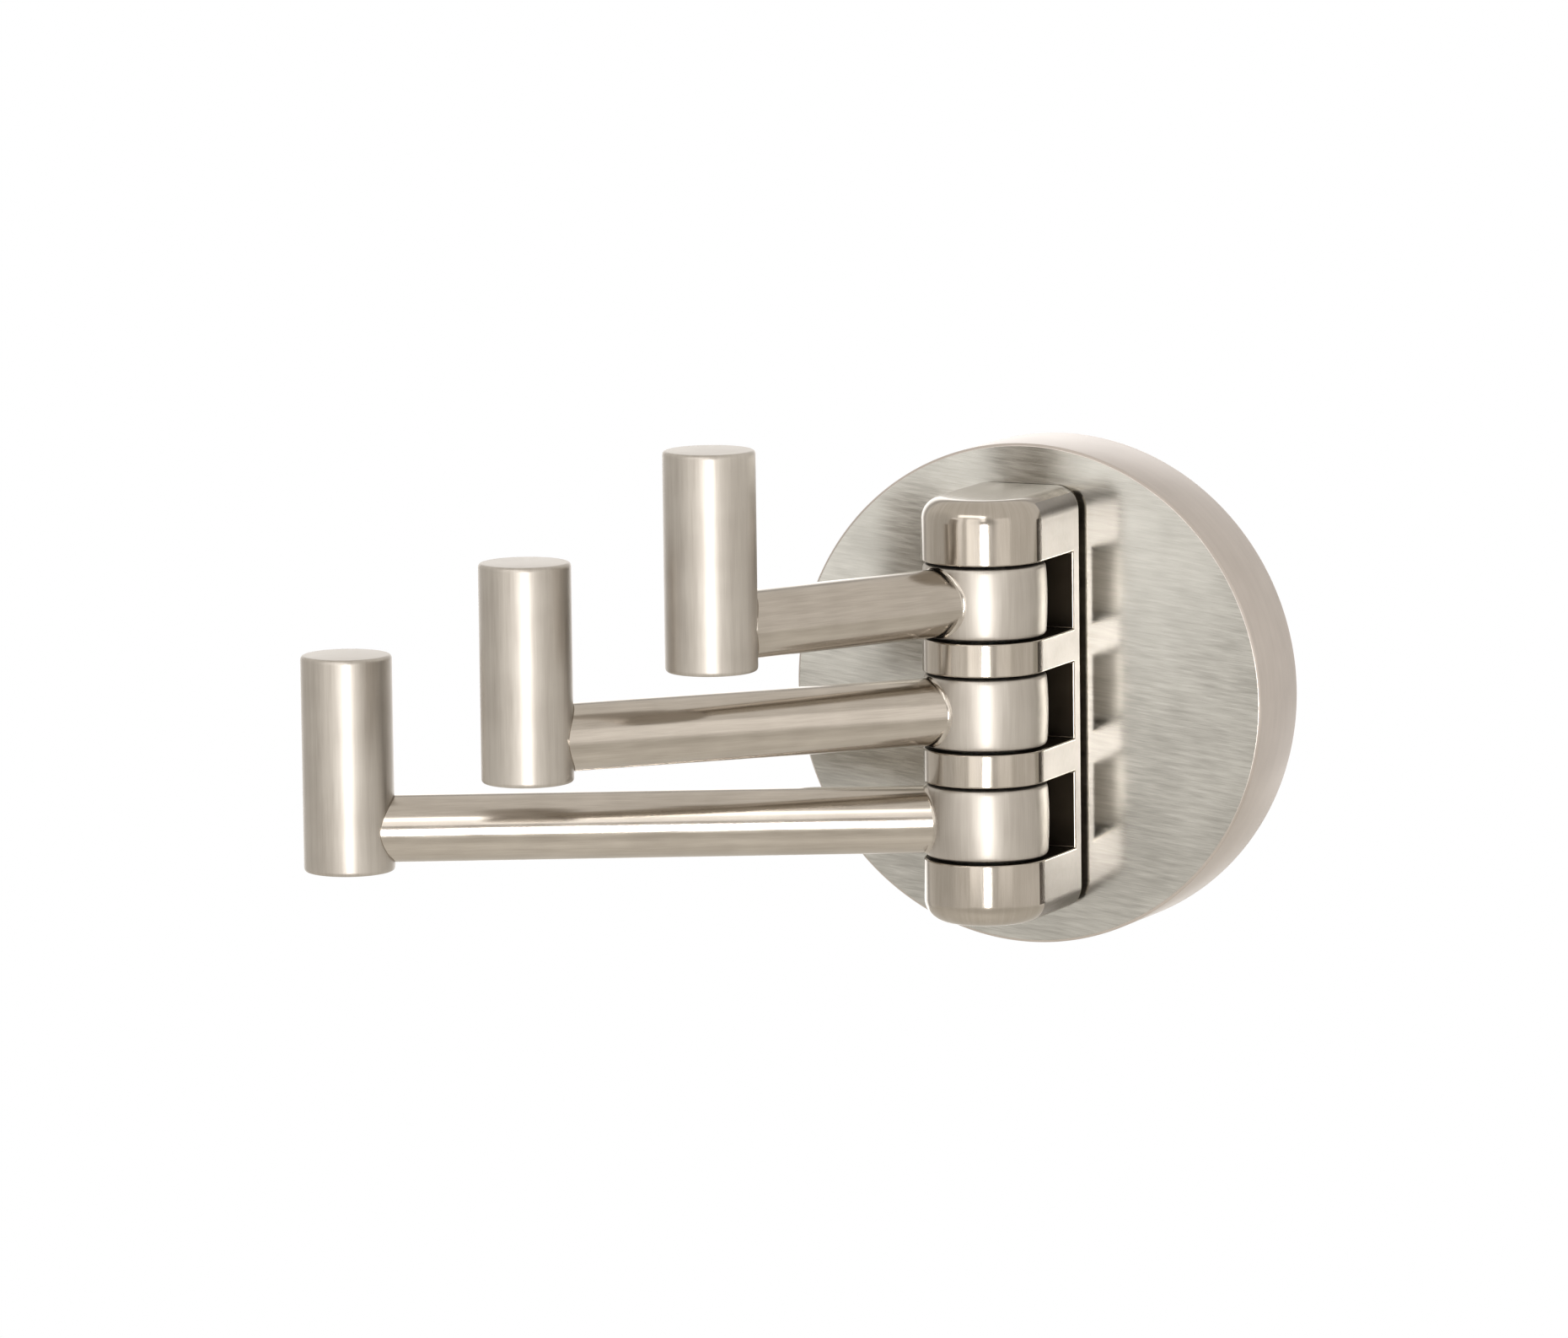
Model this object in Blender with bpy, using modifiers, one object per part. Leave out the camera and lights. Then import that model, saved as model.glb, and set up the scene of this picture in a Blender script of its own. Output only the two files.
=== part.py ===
"""Three-arm swivel robe hook on a round wall plate.

Run it in Blender 4.5 with: blender --background --python part.py
Units are metres and +Z is up. The wall is the plane y = 0 and the hook stands out towards -Y.
The origin is the centre of the wall plate's rear face.
"""

import math

import bmesh
import bpy
from mathutils import Matrix

MM = 0.001

# Hinge stack: one vertical pin carries three knuckles between the bracket's lugs.
BARREL_RADIUS = 8.25 * MM
ARM_PITCH = 14.6 * MM
KNUCKLE_HEIGHT = 9.6 * MM
CAP_HEIGHT = 8.4 * MM
BRACKET_BACK = 3.0 * MM
KNUCKLE_TO_BACK = 2.15 * MM
BRACKET_ROUNDING = 3.0 * MM
HINGE_PIN_RADIUS = 2.5 * MM
PIN_TO_TOP = 4.0 * MM

# Arms: each is a rod with a short post standing at its end.
ROD_RADIUS = 4.45 * MM
POST_RADIUS = 6.0 * MM
POST_HEIGHT = 28.6 * MM
POST_BELOW_ROD = 5.5 * MM
SHORTEST_REACH = 44.3 * MM
REACH_STEP = 19.7 * MM
SPIGOT_RADIUS = 3.0 * MM
SPIGOT_TO_PIN_BORE = 1.2 * MM
SPIGOT_TO_POST_AXIS = 2.0 * MM
EDGE_BREAK = 0.4 * MM

# Each arm: name, level above the middle, steps of reach, swing from straight out towards -X.
ARMS = (
    ("upper", 1, 0, math.radians(29.0)),
    ("middle", 0, 1, math.radians(44.0)),
    ("lower", -1, 2, math.radians(63.5)),
)

# Fasteners.
M4_RADIUS = 2.0 * MM
M4_HEAD_RADIUS = 3.5 * MM
M4_HEAD_HEIGHT = 4.0 * MM
M4_TIP_TO_PIN_BORE = 2.0 * MM
KEY_2_CORNERS = 2.3 * MM
KEY_3_CORNERS = 3.4 * MM
KEY_DEPTH = 1.8 * MM
WASHER_THICKNESS = 0.8 * MM
WASHER_RADIUS = 3.8 * MM
WALL_SCREW_RADIUS = 2.1 * MM
WALL_SCREW_HEAD_RADIUS = 4.0 * MM
WALL_SCREW_HEAD_CROWN = 2.4 * MM
WALL_SCREW_HEAD_HEIGHT = 2.4 * MM
WALL_SCREW_LENGTH = 30.0 * MM
WALL_SCREW_POINT = 6.0 * MM
WALL_SCREW_SPREAD = 16.0 * MM
CROSS_LENGTH = 4.4 * MM
CROSS_WIDTH = 1.1 * MM
CROSS_DEPTH = 1.5 * MM
ANCHOR_RADIUS = 3.5 * MM
ANCHOR_TAIL_RADIUS = 2.7 * MM
ANCHOR_LENGTH = 24.0 * MM
ANCHOR_SET_IN = 3.0 * MM
ANCHOR_COLLAR = 1.5 * MM
ANCHOR_RIBS = 6
RIB_PITCH = 3.5 * MM
RIB_DEPTH = 0.4 * MM
RETAINER_STEP = 0.5 * MM
RETAINER_HEIGHT = 3.4 * MM
RETAINER_TO_PIN = 0.5 * MM
FRICTION_WASHER_RADIUS = 5.2 * MM
FRICTION_WASHER_THICKNESS = 0.5 * MM

# Wall plate: a deep cover that slides over a bracket screwed to the wall.
PLATE_MARGIN = 5.25 * MM
PLATE_WALL = 3.2 * MM
PLATE_FACE = 3.5 * MM
WALL_BRACKET_THICKNESS = 3.0 * MM
HEAD_ROOM = 1.1 * MM
TAB_WIDTH = 14.0 * MM
TAB_THICKNESS = 2.0 * MM

# Clearances between pieces.
REST_GAP = 0.3 * MM
SOCKET_GAP = 0.15 * MM
RUNNING_GAP = 0.08 * MM

# The bracket's height comes from its stack, and the plate's diameter from the bracket.
POCKET_HEIGHT = KNUCKLE_HEIGHT + 2 * REST_GAP
BRACKET_HALF_HEIGHT = ARM_PITCH + POCKET_HEIGHT / 2 + CAP_HEIGHT
PLATE_RADIUS = BRACKET_HALF_HEIGHT + PLATE_MARGIN
PLATE_INNER_RADIUS = PLATE_RADIUS - PLATE_WALL

# Distances out from the wall: the screw heads inside the cover set its depth.
UNDER_HEAD = WALL_BRACKET_THICKNESS + HEAD_ROOM + M4_HEAD_HEIGHT
WASHER_NEAR = UNDER_HEAD + REST_GAP
COVER_INSIDE = WASHER_NEAR + WASHER_THICKNESS + REST_GAP
PLATE_DEPTH = COVER_INSIDE + PLATE_FACE
BRACKET_REAR = PLATE_DEPTH + REST_GAP
HINGE_OUT = BRACKET_REAR + BRACKET_BACK + KNUCKLE_TO_BACK + BARREL_RADIUS
TAB_REACH = UNDER_HEAD - SOCKET_GAP
SET_SCREW_OUT = (WALL_BRACKET_THICKNESS + TAB_REACH) / 2

# Heights and radii that one piece takes from another.
PIN_BORE_RADIUS = HINGE_PIN_RADIUS + RUNNING_GAP
SPIGOT_START = PIN_BORE_RADIUS + SPIGOT_TO_PIN_BORE
M4_TIP = HINGE_OUT - PIN_BORE_RADIUS - M4_TIP_TO_PIN_BORE
TAB_OUTER_Z = math.sqrt(PLATE_INNER_RADIUS**2 - (TAB_WIDTH / 2) ** 2) - SOCKET_GAP
BRACKET_SCREW_Z = TAB_OUTER_Z - TAB_THICKNESS - REST_GAP - M4_HEAD_RADIUS
RETAINER_RADIUS = HINGE_PIN_RADIUS + RETAINER_STEP
PIN_TOP_Z = BRACKET_HALF_HEIGHT - PIN_TO_TOP
WASHER_RECESS_RADIUS = FRICTION_WASHER_RADIUS + SOCKET_GAP
WASHER_RECESS_DEPTH = FRICTION_WASHER_THICKNESS + 2 * SOCKET_GAP - REST_GAP

FINE = 72
MEDIUM = 40
COARSE = 20
FORWARD = Matrix.Rotation(math.radians(90), 4, "X")  # turns local +Z to -Y, out of the wall
BACKWARD = Matrix.Rotation(math.radians(-90), 4, "X")  # turns local +Z to +Y, into the wall
UPSIDE_DOWN = Matrix.Rotation(math.radians(180), 4, "X")


def clear_scene():
    for obj in list(bpy.data.objects):
        bpy.data.objects.remove(obj, do_unlink=True)


def new_collection(name):
    collection = bpy.data.collections.new(name)
    bpy.context.scene.collection.children.link(collection)
    return collection


def metal(name, colour, roughness, metallic=1.0):
    """A Principled material with one colour, roughness and metallic value."""
    material = bpy.data.materials.new(name)
    material.use_nodes = True
    shader = material.node_tree.nodes["Principled BSDF"]
    shader.inputs["Base Color"].default_value = (*colour, 1.0)
    shader.inputs["Roughness"].default_value = roughness
    shader.inputs["Metallic"].default_value = metallic
    return material


def object_from(bm, name, collection):
    """A new object in the collection that holds the bmesh, shaded smooth between sharp edges."""
    mesh = bpy.data.meshes.new(name)
    bm.to_mesh(mesh)
    bm.free()
    mesh.shade_smooth()
    mesh.set_sharp_from_angle(angle=math.radians(35))
    obj = bpy.data.objects.new(name, mesh)
    collection.objects.link(obj)
    return obj


def part(obj, material, matrix=None, parent=None):
    """Places a finished piece and gives it its material."""
    obj.data.materials.append(material)
    obj.parent = parent
    if matrix is not None:
        obj.matrix_local = matrix
    return obj


def turned(name, profile, segments=MEDIUM, collection=None):
    """A solid turned about local Z from (radius, height) points running down its outer side."""
    bm = bmesh.new()
    verts = [bm.verts.new((radius, 0.0, height)) for radius, height in profile]
    for first, second in zip(verts, verts[1:]):
        bm.edges.new((first, second))
    if profile[0][0] > 0:
        bm.edges.new((verts[-1], verts[0]))
    obj = object_from(bm, name, collection or parts)
    screw = obj.modifiers.new("Turn", "SCREW")
    screw.steps = segments
    screw.render_steps = segments
    screw.use_merge_vertices = True
    screw.merge_threshold = 0.00001
    screw.use_smooth_shade = True
    return obj


def cylinder(name, radius, low, high, segments=MEDIUM, collection=None):
    """A closed cylinder along local Z from low to high."""
    bm = bmesh.new()
    bmesh.ops.create_cone(
        bm,
        cap_ends=True,
        segments=segments,
        radius1=radius,
        radius2=radius,
        depth=high - low,
        matrix=Matrix.Translation((0, 0, (low + high) / 2)),
    )
    return object_from(bm, name, collection or parts)


def box(name, low, high, collection=None):
    """A box between two opposite corners."""
    size = [b - a for a, b in zip(low, high)]
    middle = [(a + b) / 2 for a, b in zip(low, high)]
    bm = bmesh.new()
    bmesh.ops.create_cube(bm, size=1.0, matrix=Matrix.LocRotScale(middle, None, size))
    return object_from(bm, name, collection or parts)


def helper(obj, matrix=None, parent=None):
    """Marks an object as a cutter or filler that shapes other pieces and isn't one itself."""
    obj.hide_render = True
    obj.display_type = "WIRE"
    obj.parent = parent
    if matrix is not None:
        obj.matrix_local = matrix
    return obj


def cutting_cylinder(name, radius, low, high, matrix=None, parent=None, segments=MEDIUM):
    return helper(cylinder(name, radius, low, high, segments, helpers), matrix, parent)


def boolean(obj, other, operation="DIFFERENCE"):
    modifier = obj.modifiers.new(f"{operation.title()} {other.name}", "BOOLEAN")
    modifier.operation = operation
    modifier.solver = "EXACT"
    modifier.object = other


def break_edges(obj, width, segments=2):
    """A small bevel on every edge sharper than the facets of a round piece."""
    bevel = obj.modifiers.new("Edge break", "BEVEL")
    bevel.width = width
    bevel.segments = segments
    bevel.limit_method = "ANGLE"
    bevel.angle_limit = math.radians(40)


def backplate_cover(material):
    """Deep round cup: flat face in front, open towards the wall."""
    profile = (
        (0, PLATE_DEPTH),
        (PLATE_RADIUS - EDGE_BREAK, PLATE_DEPTH),
        (PLATE_RADIUS, PLATE_DEPTH - EDGE_BREAK),
        (PLATE_RADIUS, 0),
        (PLATE_INNER_RADIUS, 0),
        (PLATE_INNER_RADIUS, COVER_INSIDE),
        (0, COVER_INSIDE),
    )
    cover = turned("backplate_cover", profile, FINE)
    for side in (-1, 1):
        hole = cutting_cylinder(
            f"cover_screw_hole_{side}",
            M4_RADIUS + REST_GAP,
            0,
            2 * PLATE_DEPTH,
            Matrix.Translation((0, 0, side * BRACKET_SCREW_Z)) @ FORWARD,
            segments=COARSE,
        )
        boolean(cover, hole)
    set_screw_hole = cutting_cylinder(
        "cover_set_screw_hole",
        M4_RADIUS + SOCKET_GAP,
        -2 * PLATE_RADIUS,
        -TAB_OUTER_Z,
        Matrix.Translation((0, -SET_SCREW_OUT, 0)),
        segments=COARSE,
    )
    boolean(cover, set_screw_hole)
    return part(cover, material, FORWARD)


def wall_bracket(material):
    """Flat disc on the wall with two upright tabs that centre the cover and take its set screw."""
    radius = PLATE_INNER_RADIUS - REST_GAP
    disc = cylinder("wall_bracket", radius, 0, WALL_BRACKET_THICKNESS, FINE)
    for side in (-1, 1):
        tab_z = sorted((side * TAB_OUTER_Z, side * (TAB_OUTER_Z - TAB_THICKNESS)))
        tab = helper(
            box(
                f"wall_bracket_tab_{side}",
                (-TAB_WIDTH / 2, -TAB_REACH, tab_z[0]),
                (TAB_WIDTH / 2, -WALL_BRACKET_THICKNESS / 2, tab_z[1]),
                helpers,
            )
        )
        boolean(disc, tab, "UNION")
        hole = cutting_cylinder(
            f"wall_bracket_hole_{side}",
            WALL_SCREW_RADIUS + 2 * REST_GAP,
            -WALL_BRACKET_THICKNESS,
            2 * WALL_BRACKET_THICKNESS,
            Matrix.Translation((side * WALL_SCREW_SPREAD, 0, 0)) @ FORWARD,
            segments=COARSE,
        )
        boolean(disc, hole)
    return part(disc, material, FORWARD)


def cross_recess(name, matrix):
    """Two crossed cutters that sink the cross slot of a screw head below local z = 0."""
    long, wide, deep = CROSS_LENGTH / 2, CROSS_WIDTH / 2, CROSS_DEPTH
    slot = box(name, (-long, -wide, -deep), (long, wide, deep), helpers)
    across = box(f"{name}_across", (-wide, -long, -deep), (wide, long, deep), helpers)
    return helper(slot, matrix), helper(across, matrix)


def wall_screw(side, name, material):
    """Pan-head screw through the wall bracket, its point down local -Z."""
    head = WALL_SCREW_HEAD_HEIGHT
    radius = WALL_SCREW_RADIUS
    profile = (
        (0, head),
        (WALL_SCREW_HEAD_CROWN, head),
        ((WALL_SCREW_HEAD_CROWN + 2 * WALL_SCREW_HEAD_RADIUS) / 3, 3 * head / 4),
        (WALL_SCREW_HEAD_RADIUS, head / 3),
        (WALL_SCREW_HEAD_RADIUS, 0),
        (radius, 0),
        (radius, WALL_SCREW_POINT - WALL_SCREW_LENGTH),
        (0, -WALL_SCREW_LENGTH),
    )
    screw = turned(name, profile, COARSE)
    under_head = WALL_BRACKET_THICKNESS + REST_GAP
    seat = Matrix.Translation((side * WALL_SCREW_SPREAD, -under_head, 0)) @ FORWARD
    for slot in cross_recess(f"{name}_slot", seat @ Matrix.Translation((0, 0, head))):
        boolean(screw, slot)
    return part(screw, material, seat)


def wall_anchor(side, name, material):
    """Plastic plug in the wall: a collar, a ribbed sleeve and a tapered tail."""
    bore = WALL_SCREW_RADIUS + SOCKET_GAP
    profile = [(bore, 0), (ANCHOR_RADIUS, 0)]
    for rib in range(ANCHOR_RIBS):
        foot = -ANCHOR_COLLAR - rib * RIB_PITCH
        profile.append((ANCHOR_RADIUS, foot))
        profile.append((ANCHOR_RADIUS - RIB_DEPTH, foot - RIB_DEPTH))
        profile.append((ANCHOR_RADIUS - RIB_DEPTH, foot - RIB_PITCH / 2))
    profile.append((ANCHOR_TAIL_RADIUS, -ANCHOR_LENGTH))
    profile.append((bore, -ANCHOR_LENGTH))
    anchor = turned(name, profile, COARSE)
    seat = Matrix.Translation((side * WALL_SCREW_SPREAD, ANCHOR_SET_IN, 0)) @ FORWARD
    return part(anchor, material, seat)


def hex_socket(name, across_corners, matrix):
    """Six-sided cutter that sinks a key's depth below local z = 0."""
    return cutting_cylinder(name, across_corners / 2, -KEY_DEPTH, KEY_DEPTH, matrix, segments=6)


def grub_screw(name, radius, length, across_corners, material, matrix):
    """Headless screw along local Z with its hex socket at the top."""
    profile = (
        (0, length),
        (radius - EDGE_BREAK / 2, length),
        (radius, length - EDGE_BREAK / 2),
        (radius, EDGE_BREAK),
        (radius - EDGE_BREAK, 0),
        (0, 0),
    )
    screw = turned(name, profile, COARSE)
    top = matrix @ Matrix.Translation((0, 0, length))
    boolean(screw, hex_socket(f"{name}_socket", across_corners, top))
    return part(screw, material, matrix)


def cover_set_screw(material):
    """Grub screw in the cover's rim, pointing up at the wall bracket's lower tab."""
    bottom = -(PLATE_RADIUS - SOCKET_GAP)
    tip = -(TAB_OUTER_Z + REST_GAP)
    matrix = Matrix.Translation((0, -SET_SCREW_OUT, tip)) @ UPSIDE_DOWN
    return grub_screw("cover_set_screw", M4_RADIUS, tip - bottom, KEY_2_CORNERS, material, matrix)


def rounded_front_outline():
    """Plan of the bracket: a half circle about the hinge axis with straight flanks to the plate."""
    steps = MEDIUM // 2
    points = []
    for step in range(steps + 1):
        angle = math.pi * step / steps
        x = -BARREL_RADIUS * math.cos(angle)
        points.append((x, -HINGE_OUT - BARREL_RADIUS * math.sin(angle)))
    return [(-BARREL_RADIUS, -BRACKET_REAR), *points, (BARREL_RADIUS, -BRACKET_REAR)]


def outline_solid(name, points, low, high):
    """A flat outline drawn as a curve, raised from low to high and turned into a welded mesh."""
    curve = bpy.data.curves.new(name, "CURVE")
    curve.dimensions = "2D"
    curve.fill_mode = "BOTH"
    curve.extrude = (high - low) / 2
    spline = curve.splines.new("POLY")
    spline.points.add(len(points) - 1)
    for point, (x, y) in zip(spline.points, points):
        point.co = (x, y, 0, 1)
    spline.use_cyclic_u = True
    drawn = bpy.data.objects.new(name, curve)
    helpers.objects.link(drawn)
    drawn.location.z = (low + high) / 2
    bpy.context.view_layer.update()
    graph = bpy.context.evaluated_depsgraph_get()
    mesh = bpy.data.meshes.new_from_object(drawn.evaluated_get(graph))
    bm = bmesh.new()
    bm.from_mesh(mesh)
    bmesh.ops.transform(bm, matrix=drawn.matrix_world, verts=bm.verts)
    bmesh.ops.remove_doubles(bm, verts=bm.verts, dist=0.00001)
    bmesh.ops.dissolve_limit(bm, angle_limit=math.radians(1), verts=bm.verts, edges=bm.edges)
    bmesh.ops.recalc_face_normals(bm, faces=bm.faces)
    bpy.data.objects.remove(drawn)
    bpy.data.meshes.remove(mesh)
    return bm


def hinge_bracket(material):
    """Solid block with a round front, rounded ends and three pockets for the knuckles."""
    top = BRACKET_HALF_HEIGHT
    bm = outline_solid("hinge_bracket", rounded_front_outline(), -top, top)
    rear = -BRACKET_REAR - EDGE_BREAK
    ends = [
        edge
        for edge in bm.edges
        if abs(edge.verts[0].co.z - edge.verts[1].co.z) < EDGE_BREAK
        and min(vert.co.y for vert in edge.verts) < rear
    ]
    bmesh.ops.bevel(
        bm,
        geom=ends,
        offset=BRACKET_ROUNDING,
        offset_type="OFFSET",
        segments=5,
        profile=0.5,
        affect="EDGES",
        clamp_overlap=True,
    )
    bracket = object_from(bm, "hinge_bracket", parts)
    pocket_back = -BRACKET_REAR - BRACKET_BACK
    pocket_front = -HINGE_OUT - 2 * BARREL_RADIUS
    for name, level, _, _ in ARMS:
        middle = level * ARM_PITCH
        pocket = box(
            f"bracket_pocket_{name}",
            (-2 * BARREL_RADIUS, pocket_front, middle - POCKET_HEIGHT / 2),
            (2 * BARREL_RADIUS, pocket_back, middle + POCKET_HEIGHT / 2),
            helpers,
        )
        boolean(bracket, helper(pocket))
    axis = Matrix.Translation((0, -HINGE_OUT, 0))
    bore = cutting_cylinder("bracket_pin_bore", PIN_BORE_RADIUS, -2 * top, PIN_TOP_Z + REST_GAP, axis)
    boolean(bracket, bore)
    seat = cutting_cylinder(
        "bracket_retainer_seat",
        RETAINER_RADIUS + SOCKET_GAP,
        -2 * top,
        -top + SOCKET_GAP + RETAINER_HEIGHT + REST_GAP,
        axis,
    )
    boolean(bracket, seat)
    for side in (-1, 1):
        hole = cutting_cylinder(
            f"bracket_screw_hole_{side}",
            M4_RADIUS + SOCKET_GAP,
            PLATE_DEPTH / 2,
            M4_TIP + REST_GAP,
            Matrix.Translation((0, 0, side * BRACKET_SCREW_Z)) @ FORWARD,
            segments=COARSE,
        )
        boolean(bracket, hole)
    return part(bracket, material)


def bracket_screw(side, name, material):
    """Socket-head screw from inside the cover into the end of the hinge bracket."""
    length = M4_TIP - UNDER_HEAD
    profile = (
        (0, M4_HEAD_HEIGHT),
        (M4_HEAD_RADIUS - EDGE_BREAK, M4_HEAD_HEIGHT),
        (M4_HEAD_RADIUS, M4_HEAD_HEIGHT - EDGE_BREAK),
        (M4_HEAD_RADIUS, 0),
        (M4_RADIUS, 0),
        (M4_RADIUS, EDGE_BREAK - length),
        (M4_RADIUS - EDGE_BREAK, -length),
        (0, -length),
    )
    screw = turned(name, profile, COARSE)
    seat = Matrix.Translation((0, -UNDER_HEAD, side * BRACKET_SCREW_Z)) @ BACKWARD
    top = seat @ Matrix.Translation((0, 0, M4_HEAD_HEIGHT))
    boolean(screw, hex_socket(f"{name}_socket", KEY_3_CORNERS, top))
    return part(screw, material, seat)


def ring(name, inner, outer, low, high, material, matrix, segments=COARSE):
    profile = ((inner, high), (outer, high), (outer, low), (inner, low))
    return part(turned(name, profile, segments), material, matrix)


def bracket_washer(side, name, material):
    """Flat washer between the screw head and the inside of the cover's face."""
    matrix = Matrix.Translation((0, -WASHER_NEAR, side * BRACKET_SCREW_Z)) @ FORWARD
    inner = M4_RADIUS + SOCKET_GAP
    return ring(name, inner, WASHER_RADIUS, 0, WASHER_THICKNESS, material, matrix)


def hinge_pin(material):
    """Plain steel pin through every lug and knuckle."""
    low = -BRACKET_HALF_HEIGHT + SOCKET_GAP + RETAINER_HEIGHT + RETAINER_TO_PIN
    profile = (
        (0, PIN_TOP_Z),
        (HINGE_PIN_RADIUS - EDGE_BREAK, PIN_TOP_Z),
        (HINGE_PIN_RADIUS, PIN_TOP_Z - EDGE_BREAK),
        (HINGE_PIN_RADIUS, low + EDGE_BREAK),
        (HINGE_PIN_RADIUS - EDGE_BREAK, low),
        (0, low),
    )
    return part(turned("hinge_pin", profile), material, Matrix.Translation((0, -HINGE_OUT, 0)))


def pin_retaining_screw(material):
    """Grub screw that closes the pin's bore at the bottom of the bracket."""
    tip = -BRACKET_HALF_HEIGHT + SOCKET_GAP + RETAINER_HEIGHT
    matrix = Matrix.Translation((0, -HINGE_OUT, tip)) @ UPSIDE_DOWN
    name = "pin_retaining_screw"
    return grub_screw(name, RETAINER_RADIUS, RETAINER_HEIGHT, KEY_3_CORNERS, material, matrix)


def friction_washer(arm, level, face, material):
    """Thin nylon ring half sunk in a knuckle's end face."""
    side = {"top": 1, "bottom": -1}[face]
    half = FRICTION_WASHER_THICKNESS / 2
    inner = HINGE_PIN_RADIUS + SOCKET_GAP
    middle = level * ARM_PITCH + side * (POCKET_HEIGHT / 2 - SOCKET_GAP - half)
    matrix = Matrix.Translation((0, -HINGE_OUT, middle))
    name = f"friction_washer_{arm}_{face}"
    return ring(name, inner, FRICTION_WASHER_RADIUS, -half, half, material, matrix)


def arm_axis(name, level, swing):
    """Empty on the hinge axis at the arm's own height, turned to where the arm rests."""
    empty = bpy.data.objects.new(f"{name}_arm_axis", None)
    parts.objects.link(empty)
    place = Matrix.Translation((0, -HINGE_OUT, level * ARM_PITCH))
    empty.matrix_world = place @ Matrix.Rotation(-swing, 4, "Z")
    return empty


def knuckle(name, material, axis):
    """Turned barrel with a recess at each end for a washer and a socket for the rod."""
    half = KNUCKLE_HEIGHT / 2
    floor = half - WASHER_RECESS_DEPTH
    upper = [
        (PIN_BORE_RADIUS, floor),
        (WASHER_RECESS_RADIUS, floor),
        (WASHER_RECESS_RADIUS, half),
        (BARREL_RADIUS - EDGE_BREAK, half),
        (BARREL_RADIUS, half - EDGE_BREAK),
    ]
    lower = [(radius, -height) for radius, height in reversed(upper)]
    barrel = turned(f"{name}_arm_knuckle", upper + lower)
    socket = cutting_cylinder(
        f"{name}_knuckle_socket",
        SPIGOT_RADIUS + SOCKET_GAP,
        SPIGOT_START - REST_GAP,
        2 * BARREL_RADIUS,
        FORWARD,
        axis,
    )
    boolean(barrel, socket)
    return part(barrel, material, Matrix.Identity(4), axis)


def rod(name, reach, material, axis):
    """Round rod, its ends hollowed to sit against knuckle and post, with a spigot into each."""
    spigot_end = reach - SPIGOT_TO_POST_AXIS
    bar = cylinder(f"{name}_arm_rod", ROD_RADIUS, BARREL_RADIUS / 2, reach - POST_RADIUS / 2)
    barrel = cutting_cylinder(
        f"{name}_rod_barrel_hollow",
        BARREL_RADIUS + SOCKET_GAP,
        -KNUCKLE_HEIGHT,
        KNUCKLE_HEIGHT,
        None,
        axis,
        FINE,
    )
    boolean(bar, barrel)
    end = cutting_cylinder(
        f"{name}_rod_post_hollow",
        POST_RADIUS + SOCKET_GAP,
        -KNUCKLE_HEIGHT,
        KNUCKLE_HEIGHT,
        Matrix.Translation((0, -reach, 0)),
        axis,
        FINE,
    )
    boolean(bar, end)
    spigot = cylinder(f"{name}_rod_spigot", SPIGOT_RADIUS, SPIGOT_START, spigot_end, MEDIUM, helpers)
    boolean(bar, helper(spigot, FORWARD, axis), "UNION")
    return part(bar, material, FORWARD, axis)


def post(name, reach, material, axis):
    """Upright post at the rod's end, with a blind socket for the rod's spigot."""
    bar = cylinder(f"{name}_arm_post", POST_RADIUS, -POST_BELOW_ROD, POST_HEIGHT - POST_BELOW_ROD)
    break_edges(bar, EDGE_BREAK)
    socket = cutting_cylinder(
        f"{name}_post_socket",
        SPIGOT_RADIUS + SOCKET_GAP,
        reach - 2 * POST_RADIUS,
        reach - SPIGOT_TO_POST_AXIS + REST_GAP,
        FORWARD,
        axis,
    )
    boolean(bar, socket)
    return part(bar, material, Matrix.Translation((0, -reach, 0)), axis)


clear_scene()
parts = new_collection("swivel_robe_hook")
helpers = new_collection("cutters")

satin_nickel = metal("satin nickel", (0.52, 0.47, 0.41), 0.32)
brushed_nickel = metal("brushed nickel plate", (0.50, 0.47, 0.41), 0.38)
zinc_steel = metal("zinc-plated steel", (0.55, 0.56, 0.58), 0.42)
pin_steel = metal("ground stainless steel", (0.60, 0.60, 0.60), 0.20)
nylon = metal("natural nylon", (0.78, 0.76, 0.70), 0.55, 0.0)
grey_plastic = metal("grey wall plug plastic", (0.34, 0.35, 0.36), 0.60, 0.0)

backplate_cover(brushed_nickel)
wall_bracket(zinc_steel)
for side, label in ((-1, "left"), (1, "right")):
    wall_screw(side, f"wall_screw_{label}", zinc_steel)
    wall_anchor(side, f"wall_anchor_{label}", grey_plastic)
cover_set_screw(pin_steel)

hinge_bracket(satin_nickel)
for side, label in ((1, "upper"), (-1, "lower")):
    bracket_screw(side, f"bracket_screw_{label}", zinc_steel)
    bracket_washer(side, f"bracket_washer_{label}", zinc_steel)
hinge_pin(pin_steel)
pin_retaining_screw(pin_steel)

for arm, level, steps, swing in ARMS:
    axis = arm_axis(arm, level, swing)
    reach = SHORTEST_REACH + steps * REACH_STEP
    knuckle(arm, satin_nickel, axis)
    rod(arm, reach, satin_nickel, axis)
    post(arm, reach, satin_nickel, axis)
    for face in ("top", "bottom"):
        friction_washer(arm, level, face, nylon)
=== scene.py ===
# %% [markdown]
# # A three-arm swivel robe hook in satin nickel
#
# The hook is a round plate on the wall, a solid hinge bracket on the plate, and three arms that swing
# on one upright pin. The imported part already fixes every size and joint. This lesson rebuilds the
# pieces that show, with finer edges and brushed finishes, and leaves the hidden hardware as it is.

import math

import bmesh
import bpy
import numpy as np
from mathutils import Matrix, Vector


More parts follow.
